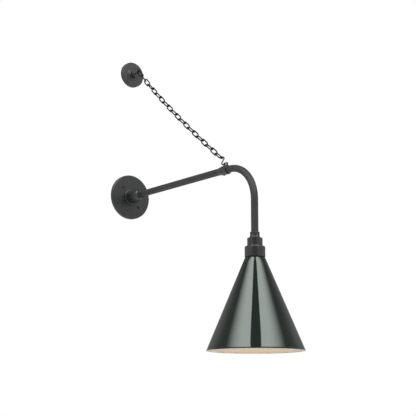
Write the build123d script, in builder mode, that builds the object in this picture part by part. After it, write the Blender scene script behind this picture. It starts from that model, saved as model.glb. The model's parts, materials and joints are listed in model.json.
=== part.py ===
from build123d import *
import os
from math import cos, radians, sin

# Wall-mounted barn light: a straight arm and a gooseneck carry a cone shade, and a stay chain holds
# the arm from a second wall plate above. Millimetres. The origin is the centre of the canopy's back
# on the wall plane Y = 0. The arm runs along -Y, +Z is up, and X = 0 is the middle plane.

os.makedirs("parts", exist_ok=True)

# Pipe: half-inch iron pipe size.
PIPE_R = 21.336 / 2
PIPE_BORE_R = PIPE_R - 2.8
SOCKET_R = PIPE_R + 0.08        # a socket that the pipe slides into

# Canopy on the wall, and its hub.
GASKET_T = 1.5
GASKET_BORE_R = 67.0
CANOPY_R = 75.0
CANOPY_FACE_R = 72.3
CANOPY_T = 11.0
CANOPY_WALL = 4.0
FACE_BACK = CANOPY_T - CANOPY_WALL
HUB_R = 22.5
COLLAR_R = 14.0
COLLAR_START = 66.0
COLLAR_END = 82.0
SCREW_CIRCLE = 88.9             # 3 1/2 inch screw circle
SCREW_R = 2.4                   # thread, to its crests
SCREW_NECK_R = 2.1              # plain shank under the head
SCREW_NECK = 5.5                # its length
SCREW_REACH = 22.0              # how far the screws stand out behind the canopy
SCREW_HEAD_R = 5.0
SCREW_HEAD_T = 3.6
SMALL_SET_R = 2.45
COLLAR_SCREW_Y = -76.0
GROUND_X = 36.0
GROUND_R = 2.0

# Arm and coupling.
ARM_START = 42.0
ARM_END = 496.0
SLEEVE_START = 483.0
SLEEVE_FULL = 498.0
SLEEVE_END = 522.0
SLEEVE_R = 14.0
SET_SCREW_R = 2.95
COUPLING_SCREW_Y = -503.0
LUG_T = 3.0
LUG_FROM = 499.7
LUG_TO = 519.7
LUG_TOP = 23.8
LUG_CORNER = 5.0
EYE_Y = -509.2
EYE_Z = 17.8
EYE_LENGTH = 11.0
EYE_HEIGHT = 6.0

# Gooseneck.
NECK_START = 497.0
BEND_START = 529.0
BEND_R = 109.5
STEM_Y = -(BEND_START + BEND_R)
PIPE_END_Z = -227.0

# Cast socket cover, heights on the stem.
COVER_TOP = -206.3
UPPER_TIER_R = 22.1
UPPER_TIER_TOP = -224.7
UPPER_TIER_END = -244.7
LOWER_TIER_R = 29.6
LOWER_TIER_TOP = -251.9
COVER_END = -278.4
CEILING = -231.5                # underside of the web that the nipple screws into
COVER_WALL = 3.0

# Lampholder, medium screw, hung from a nipple by a strap.
NIPPLE_R = 5.15
NIPPLE_BORE_R = 3.4
STRAP_TOP = -235.5
STRAP_T = 1.5
STRAP_END = STRAP_TOP - STRAP_T
NUT_T = 3.0
HOLDER_R = 17.8
HOLDER_END = -285.0
HOLDER_SCREW_X = 13.3
SOCKET_FLOOR = -253.0
SHELL_R = 13.7
SHELL_BORE_R = 13.2
SHELL_TOP = -255.0
SHELL_END = -282.0
LEAD_R = 1.2
LEAD_X = 1.55
LEAD_END_Z = -244.5

# Shade: a spun sheet cone with a flat top, a rolled rim and a ring that clamps it.
SHEET = 1.2
GASKET2_T = 1.2
SHADE_TOP = COVER_END - GASKET2_T
NECK_R = 28.6
RIM_R = 139.2
RIM_Z = -543.3
BEAD_R = 1.6
THROAT_R = 19.4                 # hole in the shade's top, round the lampholder
RING_T = 1.5
RING_R = 26.8
RING_SCREW_CIRCLE = 47.6

# Upper wall plate and its hook.
PLATE_Z = 434.0
PLATE_R = 43.5
PLATE_FACE_R = 42.0
PLATE_T = 11.5
PLATE_WALL = 4.0
BOSS_R = 11.8
BOSS_END = 24.0
ROD_R = 1.95
BAR_DROOP = 4.5                 # degrees that the hook's bar is bent down by the pull
BAR_LENGTH = 15.0               # from the droop to the bend
HOOK_BEND_R = 5.0
HOOK_TIP = 5.5
THREAD_R = 2.4                  # the hook's wood-screw thread, to its crests
HOOK_REACH = 38.0               # length of that thread, behind the wall plane

# Chain: 4 mm wire, links 37.9 by 17.2 outside.
WIRE_R = 2.0
LINK_LENGTH = 37.86
LINK_WIDTH = 17.2
LINKS = 20
PITCH = LINK_LENGTH - 4 * WIRE_R - 0.1
TOP_SLOPE = 44.25               # degrees below level at the wall end, apart from the hook's kink
BOTTOM_SLOPE = 38.19
HOOK_KINK = 2.3                 # extra slope of the first link, which fades along the chain
KINK_FADE = 0.7
FIRST_LINK = (-54.37, 425.55)   # centre of the first link in the middle plane, Y and Z
# Each link's turn about the chain, from lying flat: the hook holds the first links askew.
END_TURNS = {0: 30, 1: -29.5, 2: 82, 3: -3}
EVEN_TURN = 94.9                # the other links, counted from the wall, before the chain's roll
ODD_TURN = 8.1
CHAIN_ROLL = -4.2               # degrees that the whole chain hangs turned about its own run

# S-hook: 3.7 mm wire.
S_WIRE_R = 1.85
S_BEND_R = 7.0
S_SHANK = 14.5
S_SWEEP = 159.0
S_CENTRE = (-0.79, -497.64, 30.95)
S_PLANE_TURN = 60.4             # about Z, from the plane of X and Z
S_TILT = -16.9                  # in its own plane
S_LEAN = -28.5                  # out of its own plane


def turned_plane(height=0.0):
    """Plane for parts turned about a line along Y: its x is Y, its y is the radius."""
    return Plane(origin=(0, 0, height), x_dir=(0, 1, 0), z_dir=(1, 0, 0))


def stem_plane():
    """Plane through the stem's axis: its x is the radius, its y is the height."""
    return Plane(origin=(0, STEM_Y, 0), x_dir=(1, 0, 0), z_dir=(0, -1, 0))


def level(height):
    """Level plane centred on the stem, at a height."""
    return Plane(origin=(0, STEM_Y, height))


STEM_AXIS = Axis((0, STEM_Y, 0), (0, 0, 1))
PLATE_AXIS = Axis((0, 0, PLATE_Z), (0, 1, 0))


def save(part, name):
    """Label a finished piece and write it under its node name."""
    part.label = name
    export_step(part, f"parts/{name}.step")


def socket_screw(plane, inner, outer, radius):
    """Headless screw with a hexagon socket, between two distances along the plane's normal."""
    with BuildPart() as screw:
        with BuildSketch(plane.offset(inner)):
            Circle(radius)
        extrude(amount=outer - inner)
        chamfer(screw.edges().filter_by(GeomType.CIRCLE), length=0.35)
        with BuildSketch(plane.offset(outer)):
            RegularPolygon(radius * 0.52, 6)
        extrude(amount=-1.8, mode=Mode.SUBTRACT)
    return screw.part


# Wall canopy: hollow-backed disc with a tapering hub, and a collar that clamps the arm.
with BuildPart() as wall_canopy:
    with BuildSketch(turned_plane()):
        with BuildLine():
            Line((-GASKET_T, CANOPY_R), (-8.0, CANOPY_R))
            ThreePointArc((-8.0, CANOPY_R), (-10.1, 74.1), (-CANOPY_T, CANOPY_FACE_R))
            Polyline((-CANOPY_T, CANOPY_FACE_R), (-CANOPY_T, 28.2), (-14.5, 27.6))
            ThreePointArc((-14.5, 27.6), (-15.8, 26.9), (-16.3, 25.4))
            Line((-16.3, 25.4), (-16.6, HUB_R))
            ThreePointArc((-16.6, HUB_R), (-42.0, 20.9), (-61.5, 17.2))
            Polyline(
                (-61.5, 17.2),
                (-COLLAR_START, COLLAR_R),
                (-COLLAR_END + 0.8, COLLAR_R),
                (-COLLAR_END, COLLAR_R - 0.8),
                (-COLLAR_END, SOCKET_R),
                (-ARM_START + 1, SOCKET_R),
                (-35.0, 15.5),
                (-FACE_BACK, 18.0),
                (-FACE_BACK, GASKET_BORE_R),
                (-GASKET_T, GASKET_BORE_R),
                (-GASKET_T, CANOPY_R),
            )
        make_face()
    revolve(axis=Axis.Y)
    with Locations(Plane.XZ.offset(CANOPY_T)):
        with PolarLocations(SCREW_CIRCLE / 2, 4, start_angle=45):
            Hole(SCREW_R + 0.3, depth=CANOPY_WALL + 1)
    with BuildSketch(Plane.XZ.offset(FACE_BACK)):
        with Locations((GROUND_X, 0)):
            Circle(GROUND_R + 0.05)
    extrude(amount=2.8, mode=Mode.SUBTRACT)
    collar_screw_plane = Plane(origin=(0, COLLAR_SCREW_Y, 0), z_dir=(-1, 0, -1))
    with BuildSketch(collar_screw_plane.offset(SOCKET_R - 1)):
        Circle(SMALL_SET_R + 0.05)
    extrude(amount=5, mode=Mode.SUBTRACT)
save(wall_canopy.part, "wall_canopy")
save(socket_screw(collar_screw_plane, SOCKET_R, COLLAR_R - 0.9, SMALL_SET_R), "canopy_set_screw")

# Closed-cell ring between the canopy's rim and the wall.
with BuildPart() as canopy_gasket:
    with BuildSketch(Plane.XZ):
        Circle(CANOPY_R)
        Circle(GASKET_BORE_R, mode=Mode.SUBTRACT)
    extrude(amount=GASKET_T)
save(canopy_gasket.part, "canopy_gasket")

# Four round-head screws through the canopy's face, standing out behind it into the wall box.
with BuildPart() as canopy_screws:
    with BuildSketch(Plane.XZ.offset(CANOPY_T)):
        with PolarLocations(SCREW_CIRCLE / 2, 4, start_angle=45):
            Circle(SCREW_HEAD_R)
    extrude(amount=SCREW_HEAD_T)
    rims = canopy_screws.edges().filter_by(GeomType.CIRCLE).group_by(Axis.Y)[0]
    fillet(rims, radius=SCREW_HEAD_T * 0.75)
    with BuildSketch(Plane.XZ.offset(CANOPY_T)):
        with PolarLocations(SCREW_CIRCLE / 2, 4, start_angle=45):
            Circle(SCREW_NECK_R)
    extrude(amount=-SCREW_NECK)
    with BuildSketch(Plane.XZ.offset(CANOPY_T - SCREW_NECK)):
        with PolarLocations(SCREW_CIRCLE / 2, 4, start_angle=45):
            Circle(SCREW_R)
    extrude(amount=SCREW_NECK - CANOPY_T - SCREW_REACH)
    with BuildSketch(Plane.XZ.offset(CANOPY_T + SCREW_HEAD_T)):
        with PolarLocations(SCREW_CIRCLE / 2, 4, start_angle=45):
            Rectangle(SCREW_R * 2, 1.0)
            Rectangle(1.0, SCREW_R * 2)
    extrude(amount=-1.6, mode=Mode.SUBTRACT)
save(canopy_screws.part, "canopy_screws")

# Earth point in the canopy's back: a hexagon-head screw, and the bare wire that leaves it.
with BuildPart() as ground_screw:
    with BuildSketch(Plane.XZ.offset(FACE_BACK)):
        with Locations((GROUND_X, 0)):
            RegularPolygon(4.2, 6)
    extrude(amount=-2.4)
    with BuildSketch(Plane.XZ.offset(FACE_BACK)):
        with Locations((GROUND_X, 0)):
            Circle(GROUND_R)
    extrude(amount=2.6)
save(ground_screw.part, "ground_screw")

WIRE_Y = -FACE_BACK + 1.3
with BuildPart() as ground_wire:
    with BuildLine(Plane.XY):
        away = Line((GROUND_X - 4.4, WIRE_Y), (GROUND_X - 9, WIRE_Y))
        turn = JernArc(start=away @ 1, tangent=away % 1, radius=3.5, arc_size=-90)
        Line(turn @ 1, (GROUND_X - 12.5, 0))
    with BuildSketch(Plane(origin=away @ 0, z_dir=away % 0)):
        Circle(0.85)
    sweep()
save(ground_wire.part, "ground_wire")

# Straight arm: a plain length of pipe from the canopy's hub to the coupling.
with BuildPart() as straight_arm:
    with BuildSketch(Plane.XZ.offset(ARM_START)):
        Circle(PIPE_R)
        Circle(PIPE_BORE_R, mode=Mode.SUBTRACT)
    extrude(amount=ARM_END - ARM_START)
save(straight_arm.part, "straight_arm")

# Coupling sleeve on the arm's end, with the chain's lug and eye cast on top.
with BuildPart() as arm_coupling:
    with BuildSketch(turned_plane()):
        with BuildLine():
            Polyline(
                (-SLEEVE_START, SOCKET_R + 0.6),
                (-SLEEVE_FULL, SLEEVE_R),
                (-SLEEVE_END + 0.7, SLEEVE_R),
                (-SLEEVE_END, SLEEVE_R - 0.7),
                (-SLEEVE_END, SOCKET_R),
                (-SLEEVE_START, SOCKET_R),
                close=True,
            )
        make_face()
    revolve(axis=Axis.Y)
    with BuildSketch(Plane.YZ) as lug_outline:
        with BuildLine():
            Polyline(
                (-LUG_TO, SLEEVE_R - 1.5),
                (-LUG_TO, LUG_TOP),
                (-LUG_FROM, LUG_TOP),
                (-LUG_FROM, SLEEVE_R - 1.5),
                close=True,
            )
        make_face()
        fillet(lug_outline.vertices().group_by(Axis.Z)[-1], radius=LUG_CORNER)
    extrude(amount=LUG_T / 2, both=True)
    with BuildSketch(Plane.YZ):
        with Locations((EYE_Y, EYE_Z)):
            SlotOverall(EYE_LENGTH, EYE_HEIGHT)
    extrude(amount=LUG_T, both=True, mode=Mode.SUBTRACT)
    coupling_screw_plane = Plane(origin=(0, COUPLING_SCREW_Y, 0), z_dir=(0, 0, -1))
    with BuildSketch(coupling_screw_plane.offset(SOCKET_R - 1)):
        Circle(SET_SCREW_R + 0.05)
    extrude(amount=5, mode=Mode.SUBTRACT)
save(arm_coupling.part, "arm_coupling")
save(socket_screw(coupling_screw_plane, SOCKET_R, SLEEVE_R + 1.4, SET_SCREW_R), "coupling_set_screw")

# Gooseneck: the same pipe with one quarter bend, down to the socket cover.
with BuildPart() as gooseneck:
    with BuildLine(Plane.YZ):
        run = Line((-NECK_START, 0), (-BEND_START, 0))
        bend = JernArc(start=run @ 1, tangent=run % 1, radius=BEND_R, arc_size=90)
        Line(bend @ 1, (STEM_Y, PIPE_END_Z))
    with BuildSketch(Plane.XZ.offset(NECK_START)):
        Circle(PIPE_R)
        Circle(PIPE_BORE_R, mode=Mode.SUBTRACT)
    sweep()
save(gooseneck.part, "gooseneck")


def lead(side):
    """One insulated lead, inside the pipes from the wall plane to the lampholder's back."""
    with BuildPart() as wire:
        with BuildLine(Plane(origin=(side * LEAD_X, 0, 0), x_dir=(0, 1, 0), z_dir=(1, 0, 0))):
            run = Line((0, 0), (-BEND_START, 0))
            bend = JernArc(start=run @ 1, tangent=run % 1, radius=BEND_R, arc_size=90)
            Line(bend @ 1, (STEM_Y, LEAD_END_Z))
        with BuildSketch(Plane.XZ):
            with Locations((side * LEAD_X, 0)):
                Circle(LEAD_R)
        sweep()
    return wire.part


save(lead(-1), "line_lead")
save(lead(1), "neutral_lead")

# Socket cover: one casting with a collar round the pipe, an upper tier and a lower tier.
with BuildPart() as socket_cover:
    with BuildSketch(stem_plane()):
        with BuildLine():
            Line((SOCKET_R, COVER_TOP), (12.3, COVER_TOP))
            ThreePointArc((12.3, COVER_TOP), (13.9, -207.2), (14.3, -209.3))
            ThreePointArc((14.3, -209.3), (13.75, -214.1), (14.1, -218.0))
            ThreePointArc((14.1, -218.0), (16.5, -222.7), (UPPER_TIER_R, UPPER_TIER_TOP))
            Line((UPPER_TIER_R, UPPER_TIER_TOP), (UPPER_TIER_R, UPPER_TIER_END))
            ThreePointArc((UPPER_TIER_R, UPPER_TIER_END), (22.7, -246.2), (24.2, -247.1))
            Line((24.2, -247.1), (27.5, -248.4))
            ThreePointArc((27.5, -248.4), (29.0, -249.8), (LOWER_TIER_R, LOWER_TIER_TOP))
            Polyline(
                (LOWER_TIER_R, LOWER_TIER_TOP),
                (LOWER_TIER_R, COVER_END),
                (LOWER_TIER_R - COVER_WALL, COVER_END),
                (LOWER_TIER_R - COVER_WALL, -253.5),
                (UPPER_TIER_R - COVER_WALL, -249.0),
                (UPPER_TIER_R - COVER_WALL, CEILING),
                (NIPPLE_R + 0.05, CEILING),
                (NIPPLE_R + 0.05, PIPE_END_Z - 0.5),
                (SOCKET_R, PIPE_END_Z - 0.5),
                (SOCKET_R, COVER_TOP),
            )
        make_face()
    revolve(axis=STEM_AXIS)
    # Bosses inside the lower tier for the ring's screws.
    with BuildSketch(level(COVER_END)):
        with PolarLocations(RING_SCREW_CIRCLE / 2, 3, start_angle=90):
            Circle(3.3)
    extrude(amount=24)
    with BuildSketch(level(COVER_END)):
        with PolarLocations(RING_SCREW_CIRCLE / 2, 3, start_angle=90):
            Circle(1.45)
    extrude(amount=12, mode=Mode.SUBTRACT)
save(socket_cover.part, "socket_cover")

# Lampholder mounting: nipple in the cover's web, strap, locknut, and two screws into the body.
with BuildPart() as lampholder_nipple:
    with BuildSketch(level(PIPE_END_Z - 0.5)):
        Circle(NIPPLE_R)
        Circle(NIPPLE_BORE_R, mode=Mode.SUBTRACT)
    extrude(amount=-13.5)
save(lampholder_nipple.part, "lampholder_nipple")

with BuildPart() as lampholder_strap:
    with BuildSketch(level(STRAP_TOP)):
        SlotOverall(34, 12)
        Circle(8.5)
        Circle(NIPPLE_R + 0.1, mode=Mode.SUBTRACT)
        with Locations((-HOLDER_SCREW_X, 0), (HOLDER_SCREW_X, 0)):
            Circle(1.9, mode=Mode.SUBTRACT)
    extrude(amount=-STRAP_T)
save(lampholder_strap.part, "lampholder_strap")

with BuildPart() as nipple_locknut:
    with BuildSketch(level(STRAP_END)):
        RegularPolygon(8.1, 6)
        Circle(NIPPLE_R + 0.05, mode=Mode.SUBTRACT)
    extrude(amount=-NUT_T)
save(nipple_locknut.part, "nipple_locknut")

with BuildPart() as lampholder_screws:
    with BuildSketch(level(STRAP_TOP)):
        with Locations((-HOLDER_SCREW_X, 0), (HOLDER_SCREW_X, 0)):
            Circle(3.1)
    extrude(amount=1.9)
    with BuildSketch(level(STRAP_TOP)):
        with Locations((-HOLDER_SCREW_X, 0), (HOLDER_SCREW_X, 0)):
            Circle(1.7)
    extrude(amount=-11)
save(lampholder_screws.part, "lampholder_screws")

# Porcelain body: a recess for the locknut on top, the lamp's bore below.
with BuildPart() as lampholder_body:
    with BuildSketch(stem_plane()):
        with BuildLine():
            Polyline(
                (9.5, STRAP_END),
                (HOLDER_R - 1, STRAP_END),
                (HOLDER_R, STRAP_END - 1),
                (HOLDER_R, HOLDER_END + 1.5),
                (HOLDER_R - 1.5, HOLDER_END),
                (SHELL_R + 0.2, HOLDER_END),
                (SHELL_R + 0.2, SOCKET_FLOOR),
                (0, SOCKET_FLOOR),
                (0, STRAP_END - 4.5),
                (9.5, STRAP_END - 4.5),
                close=True,
            )
        make_face()
    revolve(axis=STEM_AXIS)
    with BuildSketch(level(STRAP_END)):
        with Locations((-HOLDER_SCREW_X, 0), (HOLDER_SCREW_X, 0)):
            Circle(1.75)
    extrude(amount=-11, mode=Mode.SUBTRACT)
    with BuildSketch(level(STRAP_END - 4)):
        with Locations((-LEAD_X, 0), (LEAD_X, 0)):
            Circle(LEAD_R + 0.1)
    extrude(amount=LEAD_END_Z - STRAP_END + 3.9, mode=Mode.SUBTRACT)
save(lampholder_body.part, "lampholder_body")

# Brass screw shell and the spring contact at its bottom.
with BuildPart() as screw_shell:
    with BuildSketch(level(SHELL_END)):
        Circle(SHELL_R)
        Circle(SHELL_BORE_R, mode=Mode.SUBTRACT)
    extrude(amount=SHELL_TOP - SHELL_END)
    with BuildSketch(level(SHELL_TOP)):
        Circle(SHELL_R)
        Circle(7.5, mode=Mode.SUBTRACT)
    extrude(amount=0.8)
save(screw_shell.part, "screw_shell")

with BuildPart() as centre_contact:
    with BuildSketch(level(SOCKET_FLOOR)):
        Circle(5.0)
    extrude(amount=-0.8)
    with BuildSketch(level(SOCKET_FLOOR - 0.8)):
        Circle(3.0)
    extrude(amount=-1.1, taper=12)
save(centre_contact.part, "centre_contact")

# Shade: flat top, cone and rolled rim in one spun sheet.
SLOPE = (RIM_R - NECK_R) / (SHADE_TOP - RIM_Z)
SKIN = SHEET * (1 + SLOPE**2) ** 0.5
with BuildPart() as shade:
    with BuildSketch(stem_plane()):
        with BuildLine():
            Polyline(
                (THROAT_R, SHADE_TOP),
                (NECK_R, SHADE_TOP),
                (RIM_R, RIM_Z),
                (RIM_R - SKIN, RIM_Z),
                (NECK_R - SKIN + SHEET * SLOPE, SHADE_TOP - SHEET),
                (THROAT_R, SHADE_TOP - SHEET),
                close=True,
            )
        make_face()
        with Locations((RIM_R - 1.3, RIM_Z + 0.4)):
            Circle(BEAD_R)
    revolve(axis=STEM_AXIS)
    with BuildSketch(level(SHADE_TOP)):
        with PolarLocations(RING_SCREW_CIRCLE / 2, 3, start_angle=90):
            Circle(1.6)
    extrude(amount=-SHEET, mode=Mode.SUBTRACT)
save(shade.part, "shade")


def washer(height, outer, inner, thickness):
    """Flat ring under the cover, with holes for the ring's three screws."""
    with BuildPart() as ring:
        with BuildSketch(level(height)):
            Circle(outer)
            Circle(inner, mode=Mode.SUBTRACT)
            with PolarLocations(RING_SCREW_CIRCLE / 2, 3, start_angle=90):
                Circle(1.6, mode=Mode.SUBTRACT)
        extrude(amount=-thickness)
    return ring.part


RING_TOP = SHADE_TOP - SHEET
save(washer(COVER_END, NECK_R - 0.3, THROAT_R, GASKET2_T), "shade_gasket")
save(washer(RING_TOP, RING_R, THROAT_R, RING_T), "shade_ring")

with BuildPart() as shade_ring_screws:
    with BuildSketch(level(RING_TOP - RING_T)):
        with PolarLocations(RING_SCREW_CIRCLE / 2, 3, start_angle=90):
            Circle(2.8)
    extrude(amount=-1.8)
    with BuildSketch(level(RING_TOP - RING_T)):
        with PolarLocations(RING_SCREW_CIRCLE / 2, 3, start_angle=90):
            Circle(1.4)
    extrude(amount=13)
save(shade_ring_screws.part, "shade_ring_screws")

# Upper wall plate: hollow-backed disc with a raised ring and a boss that the hook is screwed through.
with BuildPart() as chain_plate:
    with BuildSketch(turned_plane(PLATE_Z)):
        with BuildLine():
            Line((0, PLATE_R), (-8.6, PLATE_R))
            ThreePointArc((-8.6, PLATE_R), (-10.9, 43.0), (-PLATE_T, PLATE_FACE_R - 0.6))
            Polyline(
                (-PLATE_T, PLATE_FACE_R - 0.6),
                (-PLATE_T, 22.4),
                (-PLATE_T - 2, 20.4),
                (-PLATE_T - 2.4, BOSS_R + 0.6),
            )
            ThreePointArc((-PLATE_T - 2.4, BOSS_R + 0.6), (-15.0, BOSS_R), (-16.0, BOSS_R - 0.2))
            Polyline(
                (-16.0, BOSS_R - 0.2),
                (-BOSS_END + 1.2, BOSS_R - 0.9),
                (-BOSS_END, BOSS_R - 2.2),
                (-BOSS_END, ROD_R + 0.05),
                (-PLATE_T + PLATE_WALL, ROD_R + 0.05),
                (-PLATE_T + PLATE_WALL, PLATE_R - 5),
                (0, PLATE_R - 5),
                (0, PLATE_R),
            )
        make_face()
    revolve(axis=PLATE_AXIS)
save(chain_plate.part, "chain_plate")

# Hook: one rod, with a screw thread's length in the wall, a drooping bar and an upturned open bend.
with BuildPart() as plate_hook:
    with BuildLine(turned_plane(PLATE_Z)):
        bar = Line((1.0, 0), (-BOSS_END, 0))
        droop = JernArc(start=bar @ 1, tangent=bar % 1, radius=60, arc_size=BAR_DROOP)
        outer = Line(droop @ 1, droop @ 1 + (droop % 1) * BAR_LENGTH)
        bend = JernArc(start=outer @ 1, tangent=outer % 1, radius=HOOK_BEND_R, arc_size=-180)
        Line(bend @ 1, bend @ 1 + (bend % 1) * HOOK_TIP)
    with BuildSketch(Plane(origin=bar @ 0, z_dir=bar % 0)):
        Circle(ROD_R)
    sweep()
    with BuildSketch(Plane.XZ):
        with Locations((0, PLATE_Z)):
            Circle(THREAD_R)
    extrude(amount=-HOOK_REACH)
    chamfer(plate_hook.edges().filter_by(GeomType.CIRCLE).sort_by(Axis.Y)[-1], length=1.3)
save(plate_hook.part, "plate_hook")


def link_axes(slope, turn):
    """Direction along the chain, and the link's own normal, for a slope and a turn about the chain."""
    along = Vector(0, -cos(radians(slope)), -sin(radians(slope)))
    flat = Vector(1, 0, 0)
    upright = Vector(0, -sin(radians(slope)), cos(radians(slope)))
    width = flat * cos(radians(turn)) + upright * sin(radians(turn))
    return along, along.cross(width)


def chain_link(plane):
    """One welded link: a rod swept round a closed loop of two straights and two half turns."""
    half = (LINK_LENGTH - LINK_WIDTH) / 2
    bend = LINK_WIDTH / 2 - WIRE_R
    with BuildPart() as link:
        with BuildLine(plane):
            side = Line((-half, bend), (half, bend))
            ThreePointArc((half, bend), (half + bend, 0), (half, -bend))
            Line((half, -bend), (-half, -bend))
            ThreePointArc((-half, -bend), (-half - bend, 0), (-half, bend))
        with BuildSketch(Plane(origin=side @ 0, z_dir=side % 0)):
            Circle(WIRE_R)
        sweep()
    return link.part


# Chain: the links' slopes fall evenly from the wall to the arm, which is the chain's slight sag.
centre = Vector(0, *FIRST_LINK)
for index in range(LINKS):
    slope = TOP_SLOPE + (BOTTOM_SLOPE - TOP_SLOPE) * index / (LINKS - 1) + HOOK_KINK * KINK_FADE**index
    turn = END_TURNS.get(index, EVEN_TURN if index % 2 == 0 else ODD_TURN) + CHAIN_ROLL
    along, normal = link_axes(slope, turn)
    if index > 0:
        centre = centre + (before + along) * (PITCH / 2)
    save(chain_link(Plane(origin=centre, x_dir=along, z_dir=normal)), f"chain_link_{index + 1:02d}")
    before = along

# S-hook: two open bends on opposite sides of a straight shank, between the last link and the lug.
turn, tilt, lean = radians(S_PLANE_TURN), radians(S_TILT), radians(S_LEAN)
flat = Vector(cos(turn), -sin(turn), 0)
across = flat * cos(tilt) + Vector(0, 0, sin(tilt))
shank_way = (Vector(0, 0, cos(tilt)) - flat * sin(tilt)) * cos(lean)
shank_way = shank_way + Vector(-sin(turn), -cos(turn), 0) * sin(lean)
s_plane = Plane(origin=S_CENTRE, x_dir=across, z_dir=across.cross(shank_way))
with BuildPart() as s_hook:
    with BuildLine(s_plane):
        shank = Line((0, -S_SHANK / 2), (0, S_SHANK / 2))
        JernArc(start=shank @ 1, tangent=shank % 1, radius=S_BEND_R, arc_size=S_SWEEP)
        JernArc(start=shank @ 0, tangent=(shank % 0) * -1, radius=S_BEND_R, arc_size=S_SWEEP)
    with BuildSketch(Plane(origin=shank @ 0, z_dir=shank % 0)):
        Circle(S_WIRE_R)
    sweep()
save(s_hook.part, "s_hook")
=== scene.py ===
import json
from math import cos, pi, radians, sin

import bmesh
import bpy
from mathutils import Matrix, Vector


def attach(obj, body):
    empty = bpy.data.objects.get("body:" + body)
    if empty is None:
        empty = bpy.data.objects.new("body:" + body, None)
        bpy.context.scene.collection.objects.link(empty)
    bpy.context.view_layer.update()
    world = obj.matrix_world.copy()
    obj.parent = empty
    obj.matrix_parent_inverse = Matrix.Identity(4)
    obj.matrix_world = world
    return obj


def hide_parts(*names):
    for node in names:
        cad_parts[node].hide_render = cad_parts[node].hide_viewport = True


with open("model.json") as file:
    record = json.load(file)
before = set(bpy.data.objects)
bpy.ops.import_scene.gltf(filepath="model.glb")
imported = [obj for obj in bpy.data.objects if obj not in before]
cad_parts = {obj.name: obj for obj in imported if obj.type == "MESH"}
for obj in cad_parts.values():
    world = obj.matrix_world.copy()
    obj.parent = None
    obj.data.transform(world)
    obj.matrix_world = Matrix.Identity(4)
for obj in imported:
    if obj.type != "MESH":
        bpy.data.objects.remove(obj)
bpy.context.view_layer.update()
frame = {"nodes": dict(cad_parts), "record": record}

# Barn light on a wall canopy: straight arm, gooseneck, enamelled cone shade and a stay chain.
# Metres. The wall is the plane Y = 0, the arm runs along -Y and +Z is up.

nodes = frame["nodes"]
MM = 0.001
STEM_Y = -638.5 * MM

# Camera at the photographer's place: below the shade, on the left, looking up along the arm.
CAMERA_PLACE = Vector((-1878.5, -2752.3, -705.8)) * MM
CAMERA_AZIMUTH = -38.91
CAMERA_ELEVATION = -11.40
LENS_MM = 86.62
SENSOR_MM = 36.0


def bearing(azimuth, elevation):
    """Unit vector from the object towards a place seen at this azimuth and elevation, in degrees."""
    a, e = radians(azimuth), radians(elevation)
    return Vector((sin(a) * cos(e), -cos(a) * cos(e), sin(e)))


def facing(place, back):
    """Matrix that puts a camera or lamp at a place, with its own +Z along back."""
    right = Vector((0, 0, 1)).cross(back).normalized()
    up = back.cross(right)
    turn = Matrix((right, up, back)).transposed().to_4x4()
    return Matrix.Translation(place) @ turn


def in_scene(name, data):
    """New object in the scene's own collection."""
    thing = bpy.data.objects.new(name, data)
    bpy.context.scene.collection.objects.link(thing)
    return thing


camera = in_scene("camera", bpy.data.cameras.new("camera"))
camera.data.sensor_width = SENSOR_MM
camera.data.lens = LENS_MM
camera.matrix_world = facing(CAMERA_PLACE, bearing(CAMERA_AZIMUTH, CAMERA_ELEVATION))
bpy.context.scene.camera = camera
bpy.context.scene.view_settings.view_transform = "Standard"


# Node helpers
def linear(code):
    """Linear colour with alpha 1 from an sRGB hex code."""
    parts = [int(code[i:i + 2], 16) / 255 for i in (1, 3, 5)]
    return [c / 12.92 if c <= 0.04045 else ((c + 0.055) / 1.055) ** 2.4 for c in parts] + [1.0]


def add(tree, kind, settings=(), links=()):
    """Add one node, set its properties and plain sockets, and link its inputs."""
    node = tree.nodes.new(kind)
    for key, value in dict(settings).items():
        if isinstance(key, int) or key in node.inputs:
            node.inputs[key].default_value = value
        else:
            setattr(node, key, value)
    for key, source in dict(links).items():
        tree.links.new(source, node.inputs[key])
    return node


def new_finish(name, **sockets):
    """Material with one Principled shader, whose plain sockets are given by name."""
    material = bpy.data.materials.new(name)
    material.use_nodes = True
    tree = material.node_tree
    tree.nodes.clear()
    named = {key.replace("_", " "): value for key, value in sockets.items()}
    shader = add(tree, "ShaderNodeBsdfPrincipled", named)
    add(tree, "ShaderNodeOutputMaterial", links={"Surface": shader.outputs[0]})
    place = add(tree, "ShaderNodeTexCoord").outputs["Object"]
    return material, tree, shader, place


def grain(tree, place, size_mm, detail=3.0, roughness=0.55):
    """Noise whose lumps are about size_mm across."""
    settings = {"Scale": 1000 / size_mm, "Detail": detail, "Roughness": roughness}
    return add(tree, "ShaderNodeTexNoise", settings, {"Vector": place}).outputs["Fac"]


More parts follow.
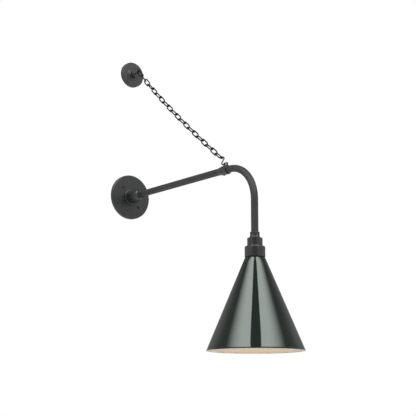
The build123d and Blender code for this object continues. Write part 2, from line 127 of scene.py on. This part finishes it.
def powder_coat(name, dark, light, grain_mm, lump_mm, height_mm, rough, level):
    """Fine-textured polyester powder coat: matt charcoal with a sandy grain that breaks up highlights.

    The level is the specular level. Under 0.5 it is lower than a real coat's, and matched to the photograph.
    """
    material, tree, shader, place = new_finish(name, Roughness=rough, IOR=1.5, Specular_IOR_Level=level)
    fine = grain(tree, place, grain_mm)
    lumps = grain(tree, place, lump_mm, detail=2.0)
    mottle = add(tree, "ShaderNodeMath", {"operation": "MULTIPLY_ADD", 1: 0.6}, {0: fine, 2: lumps})
    spread = {"From Min": 0.5, "From Max": 1.1}
    share = add(tree, "ShaderNodeMapRange", spread, {"Value": mottle.outputs[0]})
    colour = add(
        tree,
        "ShaderNodeMix",
        {"data_type": "RGBA", 6: linear(dark), 7: linear(light)},
        {0: share.outputs[0]},
    )
    tree.links.new(colour.outputs[2], shader.inputs["Base Color"])
    rough = add(
        tree,
        "ShaderNodeMapRange",
        {"From Min": 0.3, "From Max": 0.7, "To Min": rough - 0.05, "To Max": rough + 0.05},
        {"Value": fine},
    )
    tree.links.new(rough.outputs[0], shader.inputs["Roughness"])
    bump = add(
        tree,
        "ShaderNodeBump",
        {"Strength": 0.7, "Distance": height_mm * MM},
        {"Height": mottle.outputs[0]},
    )
    tree.links.new(bump.outputs[0], shader.inputs["Normal"])
    return material


def enamel(name, shade_hex, tint_hex, gloss_hex, rough, peel_mm, height_mm, ring_height_mm):
    """Baked gloss enamel on spun steel: clear reflections with a faint orange peel and spinning rings.

    The gloss colour tints the reflections. On the black it is faintly green, matched to the photograph.
    """
    gloss = linear(gloss_hex)
    material, tree, shader, place = new_finish(name, Roughness=rough, IOR=1.5, Specular_Tint=gloss)
    cloud = grain(tree, place, 45.0, detail=1.0)
    colour = add(
        tree,
        "ShaderNodeMix",
        {"data_type": "RGBA", 6: linear(shade_hex), 7: linear(tint_hex)},
        {0: cloud},
    )
    tree.links.new(colour.outputs[2], shader.inputs["Base Color"])
    peel = grain(tree, place, peel_mm, detail=1.0)
    skin = add(tree, "ShaderNodeBump", {"Strength": 1.0, "Distance": height_mm * MM}, {"Height": peel})
    # The spinner's roller leaves rings about 1.4 mm apart, seen only in the highlights.
    rings = add(
        tree,
        "ShaderNodeTexWave",
        {"wave_type": "BANDS", "bands_direction": "Z", "Scale": 1000 / 1.4 / 20, "Distortion": 0.6},
        {"Vector": place},
    )
    spun = add(
        tree,
        "ShaderNodeBump",
        {"Strength": 1.0, "Distance": ring_height_mm * MM},
        {"Height": rings.outputs["Fac"], "Normal": skin.outputs[0]},
    )
    tree.links.new(spun.outputs[0], shader.inputs["Normal"])
    return material


def bare_metal(name, base_hex, worn_hex, rough_low, rough_high, patch_mm):
    """Plated or plain metal with cloudy patches of duller and brighter plating."""
    material, tree, shader, place = new_finish(name, Metallic=1.0)
    patch = grain(tree, place, patch_mm)
    colour = add(
        tree,
        "ShaderNodeMix",
        {"data_type": "RGBA", 6: linear(base_hex), 7: linear(worn_hex)},
        {0: patch},
    )
    tree.links.new(colour.outputs[2], shader.inputs["Base Color"])
    rough = add(
        tree,
        "ShaderNodeMapRange",
        {"From Min": 0.3, "From Max": 0.7, "To Min": rough_low, "To Max": rough_high},
        {"Value": patch},
    )
    tree.links.new(rough.outputs[0], shader.inputs["Roughness"])
    scratch = grain(tree, place, patch_mm / 6)
    bump = add(tree, "ShaderNodeBump", {"Strength": 0.4, "Distance": 0.01 * MM}, {"Height": scratch})
    tree.links.new(bump.outputs[0], shader.inputs["Normal"])
    return material


def foam_rubber(name):
    """Closed-cell sponge rubber: dull black with cells about 0.6 mm across open at its cut edge."""
    material, tree, shader, place = new_finish(name, Roughness=0.9, IOR=1.52)
    cells = add(tree, "ShaderNodeTexVoronoi", {"Scale": 1000 / 0.6}, {"Vector": place})
    colour = add(
        tree,
        "ShaderNodeMix",
        {"data_type": "RGBA", 6: linear("#0c0c0d"), 7: linear("#26272a")},
        {0: cells.outputs["Distance"]},
    )
    tree.links.new(colour.outputs[2], shader.inputs["Base Color"])
    bump = add(
        tree,
        "ShaderNodeBump",
        {"Strength": 0.8, "Distance": 0.15 * MM},
        {"Height": cells.outputs["Distance"]},
    )
    tree.links.new(bump.outputs[0], shader.inputs["Normal"])
    return material


def glazed_porcelain(name):
    """Wet-process porcelain: warm white under a clear glaze that pools slightly unevenly."""
    material, tree, shader, place = new_finish(
        name, Roughness=0.35, IOR=1.5, Coat_Weight=0.8, Coat_Roughness=0.06, Subsurface_Weight=0.05
    )
    cloud = grain(tree, place, 9.0)
    colour = add(
        tree,
        "ShaderNodeMix",
        {"data_type": "RGBA", 6: linear("#efece2"), 7: linear("#f7f5ef")},
        {0: cloud},
    )
    tree.links.new(colour.outputs[2], shader.inputs["Base Color"])
    bump = add(tree, "ShaderNodeBump", {"Strength": 0.5, "Distance": 0.04 * MM}, {"Height": cloud})
    tree.links.new(bump.outputs[0], shader.inputs["Normal"])
    return material


def lead_insulation(name, dark, light):
    """Extruded fixture-wire insulation: satin, with faint draw lines along the wire."""
    material, tree, shader, place = new_finish(name, Roughness=0.42, IOR=1.53)
    streak = grain(tree, place, 0.9)
    colour = add(
        tree,
        "ShaderNodeMix",
        {"data_type": "RGBA", 6: linear(dark), 7: linear(light)},
        {0: streak},
    )
    tree.links.new(colour.outputs[2], shader.inputs["Base Color"])
    bump = add(tree, "ShaderNodeBump", {"Strength": 0.4, "Distance": 0.03 * MM}, {"Height": streak})
    tree.links.new(bump.outputs[0], shader.inputs["Normal"])
    return material


# The real grain of the coat is about 0.4 mm; it is drawn near 1 mm so that it shows at this distance.
# The chain's coat is darker and duller, because its thin wires look lighter in the render than they are.
COAT = "charcoal_powder_coat_on_"
coat_on_steel = powder_coat(COAT + "steel", "#222324", "#2c2d2e", 1.1, 5.0, 0.03, 0.52, 0.3)
coat_on_casting = powder_coat(COAT + "casting", "#151618", "#1f2021", 1.2, 6.0, 0.04, 0.36, 0.5)
coat_on_chain = powder_coat(COAT + "chain", "#060607", "#0c0c0d", 0.9, 4.0, 0.03, 0.55, 0.2)
black_enamel = enamel("gloss_black_enamel", "#0a100d", "#0e1512", "#eefaf1", 0.06, 2.6, 0.012, 0.0008)
cream_enamel = enamel("cream_reflector_enamel", "#d3c1aa", "#d8c7b1", "#ffffff", 0.22, 2.2, 0.02, 0.0008)
zinc = bare_metal("zinc_plated_steel", "#a9adb0", "#c6c9cb", 0.28, 0.46, 3.0)
brass = bare_metal("rolled_brass", "#b98f4a", "#d2ab62", 0.22, 0.36, 4.0)
black_oxide = bare_metal("black_oxide_steel", "#1a1a1c", "#2b2b2e", 0.34, 0.5, 1.5)
green_zinc = bare_metal("green_dyed_zinc", "#1f5e35", "#2f7f49", 0.3, 0.45, 1.5)
copper = bare_metal("bare_copper_wire", "#a95f3a", "#c97f55", 0.25, 0.4, 1.5)
rubber_foam = foam_rubber("closed_cell_foam_rubber")
porcelain = glazed_porcelain("glazed_porcelain")
black_insulation = lead_insulation("black_lead_insulation", "#121213", "#1d1d1f")
white_insulation = lead_insulation("white_lead_insulation", "#dcdbd5", "#ebeae5")

finish_of_slot = {
    "charcoal_coat_on_steel": coat_on_steel,
    "charcoal_coat_on_cast_aluminium": coat_on_casting,
    "gloss_black_enamel": black_enamel,
    "black_foam_rubber": rubber_foam,
    "black_oxide_steel": black_oxide,
    "green_zinc_steel": green_zinc,
    "bare_copper": copper,
    "zinc_plated_steel": zinc,
    "white_glazed_porcelain": porcelain,
    "brass_contact": brass,
    "black_lead_insulation": black_insulation,
    "white_lead_insulation": white_insulation,
}
slot_of_node = {part["node"]: part["material_slot"] for part in frame["record"]["subparts"]}
for name, node in nodes.items():
    finish = finish_of_slot[slot_of_node[name]]
    if name.startswith("chain_link") or name in ("s_hook", "plate_hook"):
        finish = coat_on_chain
    if node.material_slots:
        node.material_slots[0].material = finish
    else:
        node.data.materials.append(finish)


# Mesh helpers
def finished_piece(name, shape, finishes, body, replaced):
    """Turn a bmesh into a piece: smooth faces, sharp edges kept, its finishes and body, and the nodes it
    replaces hidden.
    """
    shape.normal_update()
    for face in shape.faces:
        face.smooth = True
    for edge in shape.edges:
        if len(edge.link_faces) == 2 and edge.calc_face_angle() > radians(38):
            edge.smooth = False
    data = bpy.data.meshes.new(name)
    shape.to_mesh(data)
    shape.free()
    for finish in finishes:
        data.materials.append(finish)
    piece = in_scene(name, data)
    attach(piece, body)
    if replaced:
        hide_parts(*replaced)
    return piece


def skin_rings(shape, rings, closed, finish_of_ring=None):
    """Join rings of equally many corners with quads. A closed run joins its last ring to its first."""
    count = len(rings)
    for i in range(count if closed else count - 1):
        first, second = rings[i], rings[(i + 1) % count]
        sides = len(first)
        for j in range(sides):
            k = (j + 1) % sides
            face = shape.faces.new((first[j], first[k], second[k], second[j]))
            if finish_of_ring:
                face.material_index = finish_of_ring[i]


def lathed(shape, profile, finish_of_ring=None, steps=192):
    """Closed profile of radius and height in millimetres, turned about the stem."""
    rings = []
    for radius, height in profile:
        ring = []
        for j in range(steps):
            a = 2 * pi * j / steps
            ring.append(shape.verts.new((radius * MM * cos(a), STEM_Y + radius * MM * sin(a), height * MM)))
        rings.append(ring)
    skin_rings(shape, rings, True, finish_of_ring)


def arc(centre, radius, start, end, steps):
    """Points on an arc in the profile's plane, angles in degrees."""
    angles = [radians(start + (end - start) * i / steps) for i in range(steps + 1)]
    return [(centre[0] + radius * cos(a), centre[1] + radius * sin(a)) for a in angles]


def thread(shape, start, along, length, core, crest, pitch, point=0.0, sides=20):
    """Screw thread as one skin: the radius climbs from core to crest and back once each pitch."""
    normal = Vector((1, 0, 0))
    other = along.cross(normal)
    rings = []
    steps = round(length / pitch * 8)
    for i in range(steps + 1):
        reach = length * i / steps
        ring = []
        for j in range(sides):
            a = 2 * pi * j / sides
            phase = (reach / pitch - j / sides) % 1.0
            climb = 1 - abs(2 * phase - 1)
            run_in = min(1.0, reach / pitch)
            radius = core + (crest - core) * min(1.0, climb * 1.15) * run_in
            if point and reach > length - point:
                radius *= max(0.12, (length - reach) / point)
            ring.append(shape.verts.new(start + along * reach + (normal * cos(a) + other * sin(a)) * radius))
        rings.append(ring)
    skin_rings(shape, rings, False)
    shape.faces.new(rings[0][::-1])
    shape.faces.new(rings[-1])


# Shade: one spun sheet with a soft shoulder and a rolled rim, black outside and cream inside.
SHADE_TOP = -279.6
SHEET = 1.2
NECK_R = 28.6
RIM_R = 139.2
RIM_Z = -543.3
THROAT_R = 19.4
BEAD_R = 1.6
slope = (RIM_R - NECK_R) / (SHADE_TOP - RIM_Z)
skin_across = SHEET * (1 + slope ** 2) ** 0.5


def cone_radius(height, inset=0.0):
    """Radius of the cone's outside at a height, less an inset."""
    return NECK_R + (SHADE_TOP - height) * slope - inset


shoulder = 1.4
outside = [(THROAT_R, SHADE_TOP), (NECK_R - 2.2, SHADE_TOP)]
outside += [(NECK_R - 0.9, SHADE_TOP - 0.12), (NECK_R - 0.15, SHADE_TOP - 0.55)]
outside += [(cone_radius(h), h) for h in (SHADE_TOP - shoulder, -300, -350, -400, -450, -500, -539.5)]
bead = (RIM_R - 1.3, RIM_Z + 0.4)
roll = arc(bead, BEAD_R, 60, -200, 20)
inside = [(cone_radius(h, skin_across), h) for h in (-539.5, -500, -450, -400, -350, -300)]
inside += [(cone_radius(SHADE_TOP - 2.6, skin_across), SHADE_TOP - 2.6)]
inside += [(NECK_R - 2.4, SHADE_TOP - SHEET - 0.1), (NECK_R - 3.4, SHADE_TOP - SHEET)]
inside += [(THROAT_R, SHADE_TOP - SHEET)]
profile = outside + roll + inside
finish_of_ring = [0 if i < len(outside) + 15 else 1 for i in range(len(profile))]
shape = bmesh.new()
lathed(shape, profile, finish_of_ring, steps=256)
bmesh.ops.recalc_face_normals(shape, faces=shape.faces)
finished_piece(
    "spun_shade",
    shape,
    (black_enamel, cream_enamel),
    "gooseneck_and_shade",
    ["shade"],
)

# Lamp shell: thin brass with the rolled thread of a medium lamp base.
SHELL_TOP_Z = -255.0
SHELL_END_Z = -282.0
SHELL_PITCH = 3.63
shape = bmesh.new()
rings = []
shell_steps = 72
sides = 96
for wall in (0, 1):
    for i in range(shell_steps + 1):
        share = i / shell_steps if wall == 0 else 1 - i / shell_steps
        height = SHELL_END_Z + (SHELL_TOP_Z - SHELL_END_Z) * share
        ring = []
        for j in range(sides):
            a = 2 * pi * j / sides
            fade = min(1.0, share * 9, (1 - share) * 9)
            wave = 0.34 * fade * sin(2 * pi * (height / SHELL_PITCH) + a)
            radius = (13.45 + wave - (0.34 if wall else 0.0)) * MM
            ring.append(shape.verts.new((radius * cos(a), STEM_Y + radius * sin(a), height * MM)))
        rings.append(ring)
skin_rings(shape, rings, True)
profile = [(13.3, SHELL_TOP_Z + 0.6), (7.5, SHELL_TOP_Z + 0.6)]
profile += [(7.5, SHELL_TOP_Z + 0.1), (13.3, SHELL_TOP_Z + 0.1)]
lathed(shape, profile, steps=96)
bmesh.ops.recalc_face_normals(shape, faces=shape.faces)
finished_piece("rolled_screw_shell", shape, (brass,), "gooseneck_and_shade", ["screw_shell"])


def cad_copy(node, keep):
    """Mesh of a CAD node, less the faces that lie beyond what is kept."""
    shape = bmesh.new()
    shape.from_mesh(nodes[node].data)
    away = [v for v in shape.verts if not keep(v.co)]
    bmesh.ops.delete(shape, geom=away, context="VERTS")
    return shape


# Screws through the canopy: the same heads, with a number ten thread cut on each shank.
SCREW_CIRCLE_R = 44.45 * MM
shape = cad_copy("canopy_screws", lambda co: co.y < -5.3 * MM)
for k in range(4):
    a = radians(45 + 90 * k)
    seat = Vector((SCREW_CIRCLE_R * cos(a), -5.6 * MM, SCREW_CIRCLE_R * sin(a)))
    thread(shape, seat, Vector((0, 1, 0)), 27.6 * MM, 1.95 * MM, 2.4 * MM, 1.06 * MM, sides=18)
finished_piece(
    "threaded_canopy_screws",
    shape,
    (coat_on_steel,),
    "wall_mounting",
    ["canopy_screws"],
)

# Plate hook: the same bent rod, with a wood-screw thread and a gimlet point behind the wall plane.
PLATE_Z = 434.0
shape = cad_copy("plate_hook", lambda co: co.y < 0.5 * MM)
seat = Vector((0, -3 * MM, PLATE_Z * MM))
thread(shape, seat, Vector((0, 1, 0)), 41 * MM, 1.6 * MM, 2.4 * MM, 1.8 * MM, point=6 * MM)
finished_piece(
    "threaded_plate_hook",
    shape,
    (coat_on_chain,),
    "wall_mounting",
    ["plate_hook"],
)

# Floor far enough below to stay out of the photograph's frame; it fades into the white round it.
FLOOR_Z = -0.95
floor_shape = bmesh.new()
bmesh.ops.create_grid(floor_shape, x_segments=1, y_segments=1, size=9.0)
floor_data = bpy.data.meshes.new("floor")
floor_shape.to_mesh(floor_data)
floor_shape.free()
floor = in_scene("floor", floor_data)
floor.location = (0, -0.4, FLOOR_Z)

material = bpy.data.materials.new("pale_studio_floor")
material.use_nodes = True
tree = material.node_tree
tree.nodes.clear()
place = add(tree, "ShaderNodeTexCoord").outputs["Object"]
distance = add(tree, "ShaderNodeVectorMath", {"operation": "LENGTH"}, {0: place})
edge = add(
    tree,
    "ShaderNodeMapRange",
    {"From Min": 1.2, "From Max": 3.2, "interpolation_type": "SMOOTHSTEP"},
    {"Value": distance.outputs["Value"]},
)
matt = add(tree, "ShaderNodeBsdfDiffuse", {"Color": linear("#f2f2f1")})
white = add(tree, "ShaderNodeEmission", {"Color": (1, 1, 1, 1), "Strength": 1.0})
to_eye = add(tree, "ShaderNodeLightPath").outputs["Is Camera Ray"]
seen = add(tree, "ShaderNodeMath", {"operation": "MULTIPLY"}, {0: edge.outputs[0], 1: to_eye})
blend = add(tree, "ShaderNodeMixShader", links={0: seen.outputs[0], 1: matt.outputs[0], 2: white.outputs[0]})
below = add(tree, "ShaderNodeNewGeometry").outputs["Backfacing"]
clear = add(tree, "ShaderNodeBsdfTransparent")
shown = add(tree, "ShaderNodeMixShader", links={0: below, 1: blend.outputs[0], 2: clear.outputs[0]})
add(tree, "ShaderNodeOutputMaterial", links={"Surface": shown.outputs[0]})
floor.data.materials.append(material)

# Surroundings: white to the eye. Round the object stands a studio with pale side panels under a grey
# ceiling, and a dark opening on the camera's side. Behind the object it is darker, with a small white
# patch straight behind that only mirrored rays see.
PANELS = 0.9
CEILING = 0.4
OPENING = 0.04
BEHIND = 0.32
CAMERA_SIDE = -41.6


def patch(tree, way, centre, edge_angle, core_angle):
    """Share from 0 to 1 of a round patch of surroundings, between two angles from its centre."""
    nearness = add(tree, "ShaderNodeVectorMath", {"operation": "DOT_PRODUCT", 1: centre}, {0: way})
    return add(
        tree,
        "ShaderNodeMapRange",
        {
            "interpolation_type": "SMOOTHSTEP",
            "From Min": cos(radians(edge_angle)),
            "From Max": cos(radians(core_angle)),
        },
        {"Value": nearness.outputs["Value"]},
    ).outputs[0]


world = bpy.data.worlds.new("studio")
bpy.context.scene.world = world
world.use_nodes = True
tree = world.node_tree
tree.nodes.clear()
way = add(tree, "ShaderNodeTexCoord").outputs["Generated"]
height = add(tree, "ShaderNodeSeparateXYZ", links={0: way}).outputs["Z"]
walls = add(
    tree,
    "ShaderNodeMapRange",
    {
        "interpolation_type": "SMOOTHSTEP",
        "From Min": sin(radians(14)),
        "From Max": sin(radians(34)),
        "To Min": PANELS,
        "To Max": CEILING,
    },
    {"Value": height},
)
opening = patch(tree, way, bearing(CAMERA_SIDE, 8), 40, 18)
behind = patch(tree, way, -bearing(CAMERA_SIDE, -8), 62, 20)
backdrop = patch(tree, way, -bearing(CAMERA_SIDE, -8), 10, 4)
path_kind = add(tree, "ShaderNodeLightPath").outputs
greater = {"operation": "MAXIMUM"}
bounced = {0: path_kind["Is Glossy Ray"], 1: path_kind["Is Transmission Ray"]}
mirrored = add(tree, "ShaderNodeMath", greater, bounced)
mirrored = add(tree, "ShaderNodeMath", {"operation": "MULTIPLY"}, {0: mirrored.outputs[0], 1: backdrop})
seen = add(tree, "ShaderNodeMath", greater, {0: mirrored.outputs[0], 1: path_kind["Is Camera Ray"]})
grey = add(tree, "ShaderNodeMapRange", {"To Max": OPENING}, {"Value": opening, "To Min": walls.outputs[0]})
grey = add(tree, "ShaderNodeMapRange", {"To Max": BEHIND}, {"Value": behind, "To Min": grey.outputs[0]})
studio = add(tree, "ShaderNodeBackground", {"Color": (1, 1, 1, 1)}, {"Strength": grey.outputs[0]})
white = add(tree, "ShaderNodeBackground", {"Color": (1, 1, 1, 1), "Strength": 1.0})
surroundings = {0: seen.outputs[0], 1: studio.outputs[0], 2: white.outputs[0]}
blend = add(tree, "ShaderNodeMixShader", links=surroundings)
add(tree, "ShaderNodeOutputWorld", links={"Surface": blend.outputs[0]})

# Two broad softboxes stand high on each side of the camera, with a narrow dark gap between them. Each
# is sharp at the gap and fades towards its far end.
SOFTBOX_DISTANCE = 5.0
SOFTBOX_RADIANCE = 7.9
SOFTBOX_TURN = 44.0             # degrees from the camera's side
SOFTBOX_ELEVATION = 46.0
SOFTBOX_ROLL = -20.0
INNER_EDGE = -1.67              # metres from its middle, towards the gap
OUTER_EDGE = 3.4
LOW_EDGE = -0.8
HIGH_EDGE = 1.9
FADE_START = -0.4               # metres along the fade, which leans upwards by FADE_LEAN
FADE_END = 4.0
FADE_LEAN = 0.5
AIM = Vector((0, STEM_Y, -0.41))


def softbox(name, side):
    """Area lamp right (side 1) or left (side -1) of the camera, bright from its inner edge outwards."""
    back = bearing(CAMERA_SIDE + side * SOFTBOX_TURN, SOFTBOX_ELEVATION)
    roll = Matrix.Rotation(radians(side * SOFTBOX_ROLL), 4, "Z")
    stand = facing(AIM + back * SOFTBOX_DISTANCE, back) @ roll
    width, height = OUTER_EDGE - INNER_EDGE, HIGH_EDGE - LOW_EDGE
    lamp = bpy.data.lights.new(name, "AREA")
    lamp.shape = "RECTANGLE"
    lamp.size, lamp.size_y = width, height
    lamp.energy = SOFTBOX_RADIANCE * pi * width * height
    outwards = stand.to_3x3() @ Vector((side, FADE_LEAN, 0))
    lamp.use_nodes = True
    tree = lamp.node_tree
    tree.nodes.clear()
    place = add(tree, "ShaderNodeNewGeometry").outputs["Position"]
    reach = add(tree, "ShaderNodeVectorMath", {"operation": "DOT_PRODUCT", 1: outwards}, {0: place})
    middle = stand.translation.dot(outwards)
    fade = add(
        tree,
        "ShaderNodeMapRange",
        {
            "interpolation_type": "SMOOTHSTEP",
            "From Min": middle + FADE_START,
            "From Max": middle + FADE_END,
            "To Min": 1.0,
            "To Max": 0.0,
        },
        {"Value": reach.outputs["Value"]},
    )
    glow = add(tree, "ShaderNodeEmission", {"Color": (1, 1, 1, 1)}, {"Strength": fade.outputs[0]})
    add(tree, "ShaderNodeOutputLight", links={"Surface": glow.outputs[0]})
    thing = in_scene(name, lamp)
    thing.matrix_world = stand @ Matrix.Translation(
        (side * (INNER_EDGE + OUTER_EDGE) / 2, (LOW_EDGE + HIGH_EDGE) / 2, 0)
    )
    thing.visible_camera = False


softbox("softbox_right", 1)
softbox("softbox_left", -1)
